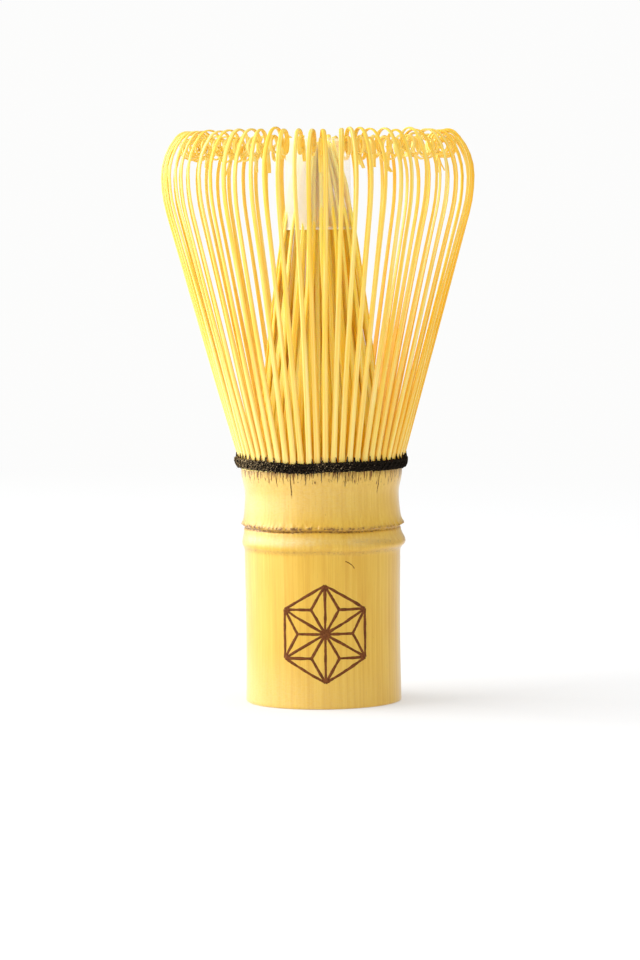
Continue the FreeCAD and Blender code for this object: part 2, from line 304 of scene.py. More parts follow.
class Paint:
    """One material, put together from procedural nodes."""

    def __init__(self, name):
        self.material = bpy.data.materials.new(name)
        self.material.use_nodes = True
        self.nodes = self.material.node_tree.nodes
        self.links = self.material.node_tree.links
        self.shader = self.nodes["Principled BSDF"]

    def feed(self, value, socket):
        """Links the socket to another one, or sets it to a number, a vector or a colour."""
        if isinstance(value, bpy.types.NodeSocket):
            self.links.new(value, socket)
        elif socket.type == "RGBA":
            socket.default_value = (*value, 1.0)
        else:
            socket.default_value = value

    def put(self, label, value):
        """Gives one of the shader's inputs a value or a socket."""
        self.feed(value, self.shader.inputs[label])

    def node(self, kind, *values, **named):
        """A new node. The values go to its first inputs in order, and the named ones by label."""
        node = self.nodes.new("ShaderNode" + kind)
        for value, socket in zip(values, node.inputs):
            self.feed(value, socket)
        for label, value in named.items():
            self.feed(value, node.inputs[label])
        return node

    def attribute(self, name, output="Fac"):
        node = self.node("Attribute")
        node.attribute_name = name
        return node.outputs[output]

    def noise(self, vector, stretch, detail=2.0, roughness=0.55):
        """Noise whose features repeat stretch times a millimetre across, deep and along."""
        mapping = self.node("Mapping", vector, Scale=stretch)
        place = mapping.outputs["Vector"]
        node = self.node("TexNoise", place, Scale=1.0, Detail=detail, Roughness=roughness)
        return node.outputs["Fac"]

    def ramp(self, value, *stops):
        """A colour ramp over value. Each stop is a place and its colour."""
        node = self.node("ValToRGB", value)
        elements = node.color_ramp.elements
        while len(elements) < len(stops):
            elements.new(0.5)
        for element, (place, colour) in zip(elements, stops):
            element.position = place
            element.color = (*colour, 1.0)
        return node.outputs["Color"]

    def mix(self, share, first, second):
        """Mixes two colours. Each argument is a socket or a plain value."""
        node = self.node("Mix")
        node.data_type = "RGBA"
        for value, socket in ((share, 0), (first, 6), (second, 7)):
            self.feed(value, node.inputs[socket])
        return node.outputs[2]

    def scaled(self, value, factor, offset=0.0, clamp=True):
        """value times factor plus offset, which is a number or a socket."""
        node = self.node("Math", value, factor)
        node.operation = "MULTIPLY_ADD"
        node.use_clamp = clamp
        self.feed(offset, node.inputs[2])
        return node.outputs["Value"]

    def thinned(self, amount, specks):
        """An amount that specks thin out."""
        cover = self.ramp(specks, (0.30, (0.35, 0.35, 0.35)), (0.62, WHITE))
        node = self.node("Math", amount, cover)
        node.operation = "MULTIPLY"
        return node.outputs["Value"]

    def broken(self, amount, specks, start=0.68, end=0.86):
        """Ragged patches with crisp edges, closer together where the amount is greater."""
        patches = self.scaled(amount, 0.5, specks, clamp=False)
        return self.ramp(patches, (start, BLACK), (end, (0.92, 0.92, 0.92)))

    def relief(self, height, strength, distance):
        node = self.node("Bump", Strength=strength, Distance=distance * MM, Height=height)
        self.put("Normal", node.outputs["Normal"])

    def glow(self, weight, depth):
        """Thin bamboo lets some light through, and it comes out a deeper orange."""
        self.put("Subsurface Weight", weight)
        self.put("Subsurface Radius", (1.0, 0.7, 0.2))
        self.put("Subsurface Scale", depth * MM)


def bamboo(name, pale, middle, deep, through):
    """Cut bamboo. tint moves it from pale to deep, and on the tines it also paints shade in the gaps
    and low inside the whisk. The paling attribute is how much it pales: the skin at its root, with
    painted light on the lit left.
    """
    paint = Paint(name)
    grain = paint.attribute("grain", "Vector")
    tint, pale_skin_and_painted_light = paint.attribute("tint"), paint.attribute("pale_skin_and_painted_light")
    fibres = paint.noise(grain, (3.2, 3.2, 0.05), detail=3.0)
    clouds = paint.noise(grain, (0.35, 0.35, 0.035))
    base = paint.ramp(fibres, (0.34, deep), (0.50, middle), (0.64, pale))
    broad = paint.ramp(clouds, (0.34, middle), (0.68, pale))
    colour = paint.mix(0.4, base, broad)
    # Deeper with tint: the cut flanks and random tone, painted shade in the gaps and low inside the
    # whisk, and less tint as painted light at the tops of the inner strips.
    colour = paint.mix(paint.scaled(tint, 0.85), colour, deep)
    # Paler at the root where the skin is left, and more on the lit left as painted light.
    colour = paint.mix(pale_skin_and_painted_light, colour, (0.90, 0.70, 0.25))
    paint.put("Base Color", colour)
    paint.put("Roughness", paint.scaled(fibres, 0.25, 0.3))
    paint.put("Specular IOR Level", 0.2)
    paint.put("Coat Weight", paint.scaled(tint, -1.0, 0.5))
    paint.put("Coat Roughness", 0.35)
    paint.relief(fibres, 0.6, 0.03)
    paint.glow(through, 0.8)
    return paint.material


def culm_skin():
    """The culm's waxy skin. tint goes from 0 on clean skin to 1 in a split, whose dark floor is
    painted shade, and below 0 where the skin is frayed; between, it browns the node's scars and
    paints shade under the node. The paling attribute is the pale bloom round the node, and painted
    light on the neck, at the foot and on the lit left front."""
    paint = Paint("culm_skin")
    grain = paint.attribute("grain", "Vector")
    tint, pale_skin_and_painted_light = paint.attribute("tint"), paint.attribute("pale_skin_and_painted_light")
    fibres = paint.noise(grain, (1.9, 1.9, 0.02), detail=5.0, roughness=0.72)
    clouds = paint.noise(grain, (0.16, 0.16, 0.05), detail=3.0)
    flecks = paint.noise(grain, (5.0, 5.0, 0.45), detail=1.0)
    specks = paint.noise(grain, (1.6, 1.6, 4.0), detail=4.0, roughness=0.65)
    spikes = paint.noise(grain, (2.3, 2.3, 0.12), roughness=0.75)
    deep, middle, pale = (0.62, 0.305, 0.008), (0.725, 0.42, 0.018), (0.81, 0.52, 0.05)
    base = paint.ramp(fibres, (0.34, deep), (0.50, middle), (0.66, pale))
    broad = paint.ramp(clouds, (0.35, (0.69, 0.385, 0.014)), (0.65, (0.77, 0.485, 0.033)))
    colour = paint.mix(0.45, base, broad)
    dark = paint.scaled(paint.ramp(flecks, (0.66, BLACK), (0.80, WHITE)), 0.28)
    colour = paint.mix(dark, colour, (0.42, 0.21, 0.045))
    # Paler with the node's bloom, and with painted light on the neck, at the foot and on the lit
    # left front.
    colour = paint.mix(paint.thinned(pale_skin_and_painted_light, specks), colour, (0.76, 0.59, 0.24))
    # Browner with tint: the node's scars and the split edges, and painted shade in the groove under
    # the lip, below the ridge and on its right.
    scar_stain_and_painted_shade = paint.scaled(paint.thinned(tint, specks), 2.0)
    colour = paint.mix(scar_stain_and_painted_shade, colour, (0.46, 0.25, 0.05))
    # Ragged dark patches where tint is high: the node's scars, and painted shade in the groove under
    # the lip and in the splits.
    rough = paint.ramp(specks, (0.38, (0.32, 0.15, 0.028)), (0.66, (0.14, 0.06, 0.013)))
    colour = paint.mix(paint.broken(tint, specks), colour, rough)
    frayed = paint.broken(paint.scaled(tint, -1.0), spikes, 0.74, 0.79)
    colour = paint.mix(frayed, colour, (0.17, 0.06, 0.008))
    # Painted shade: the floors of the splits and the nicks go near black.
    split_shade = paint.ramp(tint, (0.82, BLACK), (0.95, WHITE))
    colour = paint.mix(split_shade, colour, (0.13, 0.045, 0.008))
    paint.put("Base Color", colour)
    paint.put("Roughness", paint.scaled(fibres, 0.22, 0.24))
    paint.put("Specular IOR Level", 0.3)
    paint.put("Coat Weight", paint.scaled(colour, 1.9, -0.1))
    paint.put("Coat IOR", 1.65)
    paint.put("Coat Roughness", 0.5)
    paint.put("Sheen Weight", 0.5)
    paint.put("Sheen Roughness", 0.3)
    paint.relief(fibres, 0.55, 0.03)
    paint.glow(0.15, 0.6)
    return paint.material


def black_thread():
    """Dyed thread with undyed fibres showing. tint is how many of them show, and on the outer
    binding it is higher on the lit left as painted light.
    """
    paint = Paint("black_thread")
    specks = paint.noise(paint.attribute("grain", "Vector"), (4.6, 4.6, 4.6), 3.0, 0.65)
    undyed = paint.scaled(paint.attribute("tint"), 0.2, specks, clamp=False)
    shown = paint.ramp(undyed, (0.70, BLACK), (0.735, WHITE))
    dye = paint.ramp(specks, (0.35, (0.007, 0.005, 0.003)), (0.7, (0.02, 0.014, 0.01)))
    paint.put("Base Color", paint.mix(shown, dye, (0.42, 0.31, 0.17)))
    paint.put("Roughness", 0.9)
    paint.put("Specular IOR Level", 0.06)
    paint.relief(specks, 0.8, 0.08)
    return paint.material


def sleeve_film():
    """Thin translucent film. tint is 1 along its cut edges, where it looks denser."""
    paint = Paint("sleeve_film")
    grain = paint.attribute("grain", "Vector")
    haze = paint.noise(grain, (0.3, 0.3, 0.1))
    fine = paint.noise(grain, (6.0, 6.0, 2.0))
    thin = paint.scaled(haze, 0.16, 0.12)
    paint.put("Base Color", paint.ramp(haze, (0.3, (0.96, 0.91, 0.71)), (0.7, (0.975, 0.95, 0.83))))
    paint.put("Alpha", paint.mix(paint.attribute("tint"), thin, (0.7, 0.7, 0.7)))
    paint.put("Roughness", paint.scaled(fine, 0.2, 0.25))
    paint.relief(fine, 0.3, 0.02)
    return paint.material


def burned_line():
    """The brown of a burned mark, darker where the iron rested."""
    paint = Paint("burned_line")
    grain = paint.attribute("grain", "Vector")
    scorch = paint.noise(grain, (1.6, 1.6, 1.6), detail=3.0)
    fibres = paint.noise(grain, (5.0, 5.0, 0.3))
    colour = paint.ramp(scorch, (0.32, (0.085, 0.022, 0.006)), (0.68, (0.20, 0.062, 0.014)))
    colour = paint.mix(paint.scaled(fibres, 0.35), colour, (0.26, 0.09, 0.022))
    paint.put("Base Color", colour)
    paint.put("Roughness", 0.7)
    paint.put("Specular IOR Level", 0.15)
    paint.relief(fibres, 0.5, 0.03)
    return paint.material


def plain_floor():
    """A pale matte floor that glows as well, more the further it is from the whisk, and fades into
    the even surround, so that no horizon shows. The glow near the whisk lightens its cast shadow,
    which is painted light.
    """
    paint = Paint("plain_floor")
    place = paint.node("NewGeometry").outputs["Position"]
    clouds = paint.noise(place, (6.0, 6.0, 6.0))
    colour = paint.ramp(clouds, (0.3, (0.85, 0.86, 0.88)), (0.7, (0.865, 0.875, 0.895)))
    paint.put("Base Color", colour)
    paint.put("Roughness", 0.9)
    paint.put("Specular IOR Level", 0.1)
    distance = paint.node("VectorMath", place)
    distance.operation = "LENGTH"
    # Painted light: a share of 0.3 of glow out to 0.12 m lightens the cast shadow, rising to all
    # glow far off.
    far = paint.ramp(distance.outputs["Value"], (0.12, (0.3, 0.3, 0.3)), (0.75, WHITE))
    glow = paint.node("Emission", SURROUND).outputs["Emission"]
    blend = paint.node("MixShader", far, paint.shader.outputs["BSDF"], glow)
    output = paint.nodes["Material Output"]
    paint.feed(blend.outputs["Shader"], output.inputs["Surface"])
    return paint.material


# ---- culm

ring_sag = waves(3, range(2, 9))
ring_rough = waves(5, range(9, 140, 3), power=0.35)
ring_fine = waves(8, range(40, 260, 7), power=0.2)
round_error = waves(12, (2, 3, 4, 5), power=1.2)
bore_wave = waves(31, (2, 3, 5, 8))


def node_fade(azimuth):
    """The node ring stands out more on the right of the front than on the left."""
    return 0.88 + 0.36 * facing(azimuth, 0.0)


def ring_drop(azimuth):
    """How far the node ring sags below its own height, most at the front."""
    return 0.35 * facing(azimuth, FRONT) + 0.12 * ring_sag(azimuth)


def above_ridge(azimuth, height):
    """How far a height is above the crest of the node's ridge."""
    return height - (RIDGE_HEIGHT - ring_drop(azimuth))


def above_lip(azimuth, height):
    """How far a height is above the sharp lip over the ridge."""
    return height - (LIP_HEIGHT - 0.8 * ring_drop(azimuth))


def culm_radius(azimuth, height):
    """The outside of the culm: a slightly waisted, not quite round tube with a node ring."""
    height = np.asarray(height, float)
    waist = -0.14 * bulge(height, WAIST_TOP) + 0.05
    neck = (COLLAR_RADIUS - CULM_RADIUS) * smooth_step(height, NECK_FLARE, BAND_BASE)
    neck = neck - 0.2 * bell(height - NECK_HEIGHT, 2.6)
    over_ridge, over_lip = above_ridge(azimuth, height), above_lip(azimuth, height)
    half = np.where(over_ridge > 0, 1.7, 0.85)
    ridge = RIDGE_RISE * node_fade(azimuth) * bell(over_ridge, half)
    reach = np.where(over_lip > 0, 1.15, 0.16)
    lip = LIP_RISE * (0.35 + 0.65 * node_fade(azimuth)) * np.exp(-np.abs(over_lip) / reach)
    groove = -0.3 * bell(over_lip + 0.5, 0.2)
    ragged = 0.09 * ring_rough(azimuth) + 0.08 * ring_fine(azimuth + 40 * height)
    scar = bell(over_lip, 0.8) * ragged
    uneven = 0.06 * round_error(azimuth)
    return CULM_RADIUS + waist + neck + ridge + lip + groove + scar + uneven


def culm_scar_and_painted_shade(azimuth, height):
    """Where the node's scars are brown, and where painted shade darkens the groove under the lip,
    the band below the ridge and a slanting band on the ridge's right, from 0 to 0.8.
    """
    over_ridge, over_lip = above_ridge(azimuth, height), above_lip(azimuth, height)
    patchy = smooth_step(ring_rough(azimuth) + 0.6 * ring_fine(azimuth), -0.6, 0.8)
    leftness = 0.55 + 0.45 * facing(azimuth, FRONT - 50)
    line = bell(over_lip - 0.12, 0.32) * (0.25 + 0.6 * patchy * leftness)
    # Painted shade in the groove under the lip.
    groove = bell(over_lip + 0.5, 0.24) * (0.1 + 0.65 * leftness)
    # Painted shade below the ridge.
    under = 0.21 * bell(over_ridge + 0.85, 0.28) * (0.6 + 0.4 * patchy)
    under = under + 0.1 * bell(over_ridge + 1.3, 0.9)
    # Painted shade in a slanting band on the ridge's right, away from the light.
    across = apart(azimuth, FRONT + 45)
    slant = over_ridge - 0.9 + 0.022 * across
    side = 0.19 * bell(across, 30) * bell(slant, 0.7)
    return np.clip(line + groove + under + side, 0, 0.8)


def culm_bloom_and_painted_light(azimuth, height):
    """The pale waxy bloom on the upper slope of the node's ridge, stronger towards the lit left
    front as painted light, and painted light that pales the neck and the foot, most on the lit left
    front.
    """
    patchy = smooth_step(ring_sag(azimuth * 1.7 + 30) + 0.4 * ring_rough(azimuth), -0.9, 0.8)
    slope = bell(above_ridge(azimuth, height) - 1.2, 0.9) * (0.35 + 0.5 * patchy)
    # Painted light: the bloom is stronger towards the lit left front.
    slope = slope * (0.6 + 0.4 * facing(azimuth, FRONT - 60))
    # Painted light: the neck and the foot pale, most towards the lit left front.
    neck = 0.45 * smooth_step(height, 34.0, 39.0)
    foot = 0.4 * (1 - smooth_step(height, 0.0, 13.0))
    return np.maximum(slope, (neck + foot) * (0.5 + 0.5 * facing(azimuth, FRONT - 70)))


# One tine's sector of the culm's skin: places across it in mm from the split at its start, and
# which of them are that split's edges, its floor and the middle of a nick.
SECTOR = np.array([-0.10, -0.04, 0.04, 0.10, 0.24, 0.48, 0.71, 0.76, 0.81, 1.04, 1.28])
SPLIT_EDGES = np.array([1, 1, 1, 1, 0, 0, 0, 0, 0, 0, 0], float)
SPLIT_FLOOR = np.array([0, 1, 1, 0, 0, 0, 0, 0, 0, 0, 0], float)
NICK = np.array([0, 0, 0, 0, 0, 0, 0, 1, 0, 0, 0], float)
LONG_SPLITS = ((FRONT - 24, 40.4), (FRONT + 47, 41.0), (75, 41.6), (160, 42.0))


def per_tine(numbers):
    """One number for each tine, repeated for every place across its sector."""
    return np.repeat(numbers, len(SECTOR))


SECTOR_STARTS = per_tine(np.arange(TINES) * TINE_PITCH)
PLACES = np.tile(SECTOR, TINES)
PER_DEGREE = np.pi * COLLAR_RADIUS / 180
ROUND_WAY = SECTOR_STARTS + PLACES / PER_DEGREE


class Rings:
    """The culm's skin as rings of points that follow each other, with tint, and a paling that is the
    node's bloom and painted light.
    """

    def __init__(self):
        self.points, self.tints, self.pale_skins_and_painted_light = [], [], []

    def add(self, radius, height, tint, azimuth=ROUND_WAY):
        self.points.append(around(azimuth, radius, height))
        self.tints.append(np.broadcast_to(tint, len(azimuth)).astype(float))
        self.pale_skins_and_painted_light.append(culm_bloom_and_painted_light(azimuth, height))


def add_bore(rings):
    """From the middle of the node's wall down the bore and out along the cut end."""
    for radius in (0.4, 3.0, 6.0, 8.6):
        rings.add(radius, BORE_TOP - 0.25 * (1 - (radius / BORE_RADIUS) ** 2), 0.25)
    for height in np.linspace(BORE_TOP - 0.7, 0.5, 8):
        rings.add(BORE_RADIUS + 0.08 * bore_wave(ROUND_WAY + 3 * height), height, 0.1)
    rings.add(BORE_RADIUS + RIM_EDGE, RIM_EDGE, 0.1)
    for share in (0.06, 0.3, 0.5, 0.7, 0.95):
        rings.add(BORE_RADIUS + (CULM_RADIUS - BORE_RADIUS) * share, 0.0, 0.05)


def outside_heights():
    """The heights of the rings on the outside, closer together at the node and at the splits."""
    foot, shaft = [0.08, 0.3], np.linspace(0.8, 26.4, 14)
    node, neck = np.arange(27.6, 36.8, 0.18), np.arange(37.2, SPLITS_FROM, 0.55)
    splits = np.arange(SPLITS_FROM, BAND_BASE, 0.19)
    return np.concatenate([foot, shaft, node, neck, splits, [BAND_BASE, CROWN - 0.35, CROWN]])


def split_ends():
    """The height that each split between two tines runs down to. A few run down further."""
    dice = np.random.default_rng(21)
    ends = BAND_BASE - 0.25 - 2.2 * dice.uniform(0, 1, TINES) ** 1.4
    for azimuth, end in LONG_SPLITS:
        ends[int(round(azimuth / TINE_PITCH)) % TINES] = end
    return ends


def add_outside(rings):
    """Up the outside, with splits and nicks that open below the band, and frayed skin there."""
    dice = np.random.default_rng(23)
    nicked = BAND_BASE - 0.1 - per_tine(dice.uniform(0, 1, TINES) ** 2 * 1.5)
    ends = per_tine(split_ends())
    edges, floor, nick = (np.tile(row, TINES) for row in (SPLIT_EDGES, SPLIT_FLOOR, NICK))
    for height in outside_heights():
        opening = smooth_step(height, ends, ends + 1.3)
        jag = per_tine(dice.normal(0, 0.03, TINES)) * edges
        places = jag + PLACES * (1 - edges * 0.72 * (1 - opening))
        azimuth = SECTOR_STARTS + places / PER_DEGREE
        radius = culm_radius(azimuth, height) - 0.55 * floor * smooth_step(height, ends, ends + 0.5)
        radius = radius - 0.3 * nick * smooth_step(height, nicked, nicked + 0.4)
        if height < RIM_EDGE:
            radius = radius - RIM_EDGE
        bruise = smooth_step(height, ends - 0.6, ends + 0.4) * edges * 0.4
        # The node's brown scars and its painted shade, and brown along the split edges.
        tint = np.maximum(culm_scar_and_painted_shade(azimuth, height), bruise)
        # Painted shade: the floors of the splits and the nicks are tinted dark.
        tint = np.maximum(tint, 0.87 * floor * smooth_step(height, ends - 0.1, ends + 0.15))
        tint = np.maximum(tint, nick * smooth_step(height, nicked, nicked + 0.2) * 0.86)
        frayed = 0.52 * smooth_step(height, BAND_BASE - 3.8, BAND_BASE + 0.4)
        rings.add(radius, height, np.where(tint > 0.1, tint, -frayed), azimuth)


def add_well(rings):
    """From the crown down the well inside it, to the middle of its floor."""
    for share in (0.75, 0.5, 0.25, 0.04):
        rings.add(WELL_RADIUS + (COLLAR_RADIUS - WELL_RADIUS) * share, CROWN, 0.1)
    for height in np.linspace(CROWN - 0.3, WELL_FLOOR + 0.5, 6):
        rings.add(WELL_RADIUS + 0.06 * bore_wave(ROUND_WAY - 2 * height), height, 0.15)
    for radius in (WELL_RADIUS - 0.5, 8.0, 4.0, 0.4):
        rings.add(radius, WELL_FLOOR + 0.2 * (radius / WELL_RADIUS) ** 2, 0.3)


def culm_body():
    """The whole handle as one skin: bore, rim, outside with its splits, crown and well."""
    rings = Rings()
    add_bore(rings)
    add_outside(rings)
    add_well(rings)
    points = np.concatenate(rings.points)
    faces = tube_faces(len(rings.points), len(ROUND_WAY))
    shell = Shell()
    shell.add(points, faces, points, np.concatenate(rings.tints), np.concatenate(rings.pale_skins_and_painted_light))
    piece = shell.build("culm_body", skin, sharp=50)
    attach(piece, "culm")
    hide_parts("handle")


# ---- marks on the culm

# Places on the front of the culm are pairs: how far across to the right, and how high. The
# scratch is an arc of a circle whose highest place is SCRATCH_TOP, from SCRATCH_START on.
MARK_CENTRE = np.array([0.4, 14.4])
MARK_SIZE = 9.3
SCRATCH_TOP = np.array([3.6, 28.3])
SCRATCH_RADIUS = 3.0
SCRATCH_START = 1.35 - math.radians(62)
STROKE_STEP = 0.25
SUNK = -0.03


def wobble(dice, spread, count):
    """Random numbers that follow each other smoothly."""
    return np.convolve(dice.normal(0, spread, count + 4), np.ones(5) / 5, "valid")


def add_stroke(shell, start, end, width, lift, seed):
    """A burned line on the culm from start to end, its surface lift above the skin."""
    dice = np.random.default_rng(seed)
    count = max(4, int(np.linalg.norm(end - start) / STROKE_STEP))
    share = np.linspace(0, 1, count)
    flat = start + (end - start) * share[:, None]
    side = unit(np.array([-(end - start)[1], (end - start)[0]]))
    wander = wobble(dice, 0.03, count)
    half = width / 2 * (1 + wobble(dice, 0.25, count))
    rows = []
    for sign, depth in ((-1, SUNK), (-1, lift), (1, lift), (1, SUNK)):
        spot = flat + side * (wander + sign * half)[:, None]
        azimuth = FRONT + np.degrees(spot[:, 0] / CULM_RADIUS)
        rows.append(around(azimuth, culm_radius(azimuth, spot[:, 1]) + depth, spot[:, 1]))
    points = np.stack(rows, axis=1).reshape(-1, 3)
    shell.add(points, tube_faces(count, len(rows)), points, 0.5)


def add_strokes(shell, strokes, width, lift, seed):
    """Burned lines. Each is a little higher than the last, so that no two surfaces coincide."""
    for number, (start, end) in enumerate(strokes):
        add_stroke(shell, start, end, width, lift + 0.0006 * number, seed + number)


def hemp_leaf_mark():
    """A burned six-pointed hemp-leaf star, a plain traditional pattern, low on the front."""
    corners = []
    for turn in range(6):
        angle = math.radians(60 * turn + 30)
        corners.append(MARK_CENTRE + MARK_SIZE * np.array([math.cos(angle), math.sin(angle)]))
    strokes = []
    for here, after in zip(corners, corners[1:] + corners[:1]):
        middle = (MARK_CENTRE + here + after) / 3
        strokes += [(MARK_CENTRE, here), (here, after)]
        strokes += [(middle, MARK_CENTRE), (middle, here), (middle, after)]
    shell = Shell()
    add_strokes(shell, strokes, width=0.52, lift=0.012, seed=100)
    piece = shell.build("hemp_leaf_mark", burned)
    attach(piece, "culm")


def scratch():
    """A small curved nick above the mark, to the right."""
    places = []
    for step in range(6):
        angle = SCRATCH_START + math.radians(9 * step)
        offset = SCRATCH_RADIUS * np.array([math.sin(angle), math.cos(angle) - 1])
        places.append(SCRATCH_TOP + offset)
    shell = Shell()
    add_strokes(shell, zip(places, places[1:]), width=0.16, lift=0.008, seed=200)
    piece = shell.build("culm_scratch", burned)
    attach(piece, "culm")


# ---- outer tines


def curl_arcs(dice):
    """The arcs of one tine's curl as radius and sweep. Most curls end in a tip that hangs free."""
    (shoulder, shoulder_sweep), (bend, bend_sweep), crest, loop, end = CURL
    scale = 1 + dice.normal(0, 0.045)
    more, tip = dice.normal(0, 9), dice.normal(-15, 42)
    arcs = [
        (shoulder * (1 + dice.normal(0, 0.04)), shoulder_sweep),
        (bend * (1 + dice.normal(0, 0.05)), bend_sweep),
        (crest[0] * scale, crest[1]),
        (loop[0] * scale, loop[1] + more),
        (end[0] * (1 + dice.normal(0, 0.1)), float(np.clip(end[1] + tip, 40, 260))),
    ]
    if dice.uniform() < HANGING_SHARE:
        arcs[-1] = (HANGING_LOOP[0], HANGING_LOOP[1] + more)
        arcs.append((HANGING_RADIUS, dice.uniform(15.0, 32.0)))
    return arcs


def curl_path(arcs):
    """The middle line of a tine from its root, as distance out, height and heading in degrees."""
    out, up, heading = [0.0], [0.0], [SPLAY]
    for run in np.linspace(0, STRAIGHT, 26)[1:]:
        out.append(run * math.sin(math.radians(SPLAY)))
        up.append(run * math.cos(math.radians(SPLAY)))
        heading.append(SPLAY)
    for radius, sweep in arcs:
        steps = max(3, int(sweep / 11) + 1)
        turn = math.radians(sweep) / steps
        for _ in range(steps):
            middle = math.radians(heading[-1]) - turn / 2
            chord = 2 * radius * math.sin(turn / 2)
            out.append(out[-1] + chord * math.sin(middle))
            up.append(up[-1] + chord * math.cos(middle))
            heading.append(heading[-1] - math.degrees(turn))
    return np.array(out), np.array(up), np.array(heading)


def outer_tine_line(azimuth, dice):
    """The middle line of one outer tine in space, the way it faces, and its run along the line."""
    out, up, heading = curl_path(curl_arcs(dice))
    low = smooth_step(up, 0.0, 20.0)
    high = smooth_step(up, 48.0, 62.0)
    top_error = dice.normal(0, 0.13)
    out = out + low * dice.normal(0, 0.16) + 0.12 * dice.normal() * bulge(up, 55)
    up = up * (1 + (CURL_TOP - ROOT_HEIGHT + top_error - up.max()) / up.max())
    lean = np.clip(dice.normal(0, 0.2), -0.4, 0.4)
    side = lean * low * up / 60 + 0.14 * dice.normal() * bulge(up, 60)
    inward = np.maximum(out.max() - out, 0) * high
    turned = np.maximum(-heading, 0) / 360
    side = side + inward * math.tan(math.radians(dice.normal(0, 5))) + turned * dice.normal(0, 0.22)
    outward = around(azimuth, 1.0, 0.0)
    sideways = around(azimuth + 90, 1.0, 0.0)
    path = (ROOT_RADIUS + out)[:, None] * outward + side[:, None] * sideways
    path[:, 2] += ROOT_HEIGHT + up
    lay = np.radians(heading)
    face = np.cos(lay)[:, None] * outward - np.sin(lay)[:, None] * np.array([0, 0, 1.0])
    twist = np.radians(dice.normal(0, 5) * low + dice.normal(0, 4) * high)
    face = face * np.cos(twist)[:, None] + np.sin(twist)[:, None] * sideways
    return path, face, run_along(np.stack([out, up], axis=-1))


def add_outer_tine(shell, azimuth, dice):
    """One outer tine: a cut blade, splayed, then curled in on itself, each a little different."""
    path, face, run = outer_tine_line(azimuth, dice)
    left = run[-1] - run
    tip_width = dice.normal(0.80, 0.06)
    width = ROOT_WIDTH + (tip_width - ROOT_WIDTH) * smooth_step(run, 4.0, 48.0)
    width = width + 0.17 * (1 - smooth_step(run, 1.2, 4.5))
    width = width * (0.8 + 0.2 * smooth_step(left, 0.0, 2.5))
    depth = ROOT_DEPTH - 0.27 * smooth_step(run, 8.0, 56.0)
    depth = depth * (0.55 + 0.45 * smooth_step(left, 0.0, 5.0))
    origin = dice.uniform(-200, 200, 3)
    # Painted light: tines on the lit left get less tint.
    leftness = facing(azimuth, LEFT)
    tint = np.clip(dice.normal(0.2 - 0.16 * leftness, 0.18), 0, 0.9)
    tint = tint - 0.6 * (1 - smooth_step(left, 4.0, 24.0))
    shaved = 0.05 + 0.19 * smooth_step(run, 1.0, 5.0)
    # Paler near the root where the skin is left, and more on the lit left as painted light.
    root_skin_and_painted_light = (0.32 + 0.28 * leftness) * (1 - smooth_step(run, 2.0, 38.0))
    add_blade(shell, path, face, width / 2, depth / 2, origin, tint, shaved, root_skin_and_painted_light)


def outer_tine_groups():
    """Sixteen pieces of four tines each."""
    dice = np.random.default_rng(7)
    for stave in range(STAVES):
        shell = Shell()
        for number in range(TINES_PER_STAVE):
            add_outer_tine(shell, tine_azimuth(stave, number), dice)
        label = f"{stave + 1:02d}"
        piece = shell.build(f"outer_blades_{label}", outer_bamboo, sharp=30)
        middle = (stave + 0.5) * TINES_PER_STAVE * TINE_PITCH
        start = around(middle, COLLAR_RADIUS, CROWN + 1.5) * MM
        end = around(middle, COLLAR_RADIUS + 9.0, CROWN + 34.0) * MM
        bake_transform(piece)
        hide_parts(f"outer_tines_{label}")


# ---- inner tines


def gathered(height):
    """0 at the strips' roots, where they stand apart, to 1 where the cone has closed."""
    return smooth_step(height, 48, 82)


def inner_radius(height, layer):
    """How far a strip on a layer is from the axis: the cone leans in and its layers gather."""
    above = height - INNER_ROOT
    radius = INNER_RADIUS - above * math.tan(math.radians(INNER_LEAN))
    radius = radius - 0.00085 * np.maximum(above - 8, 0) ** 2
    radius = radius - 0.011 * np.maximum(above - 45, 0) ** 2
    narrow = smooth_step(height, 92, 101)
    radius = np.hypot(radius.clip(0), CORE_RADIUS * narrow)
    return radius - (0.5 + 0.25 * narrow) * layer * gathered(height)


def add_inner_tine(shell, azimuth, layer, dice):
    """One inner tine: a flat strip that leans in and crosses its neighbours on its own layer."""
    top = SLEEVE_TOP - 0.6 - 0.3 * layer + dice.normal(0, 0.35)
    height = np.linspace(INNER_ROOT - 0.3, top, 46)
    above = height - INNER_ROOT
    radius = inner_radius(height, layer)
    gather = gathered(height)
    wander = dice.normal(0, 0.33) * gather
    wander = wander + dice.normal(0, 0.2) * np.sin(np.pi * above / 30) * gather
    wave = dice.normal(0, 0.16) * np.sin(np.pi * above / 13 + dice.uniform(0, 6))
    wander = wander + wave * gather
    room = np.clip(radius / 9.0, 0.25, 1.0)
    way = azimuth + np.degrees(np.clip(wander, -1.6, 1.6) * room / radius)
    slope = np.gradient(radius, height)
    twist = np.radians(dice.normal(0, 9)) * gather
    sideways = around(way + 90, 1.0, 0.0)
    face = unit(around(way, 1.0, -slope)) * np.cos(twist)[:, None]
    face = face + sideways * np.sin(twist)[:, None]
    width = INNER_WIDTH - 0.46 * smooth_step(height, 60, 94) + dice.normal(0, 0.06)
    width = width * (0.6 + 0.4 * smooth_step(top - height, 0.0, 3.0))
    depth = INNER_DEPTH - 0.12 * smooth_step(height, 50, 95)
    origin = dice.uniform(-200, 200, 3)
    # Painted shade: the strips are deeper low down inside the whisk. Painted light: they are paler
    # near their tops, inside the sleeve.
    tint = np.clip(dice.normal(0.3, 0.16), 0, 0.9) + 0.8 * (1 - smooth_step(height, 50, 64))
    tint = tint - 0.5 * smooth_step(height, 82, 92)
    path = around(way, radius, height)
    add_blade(shell, path, face, width / 2, depth / 2, origin, tint, shaved=0.16)


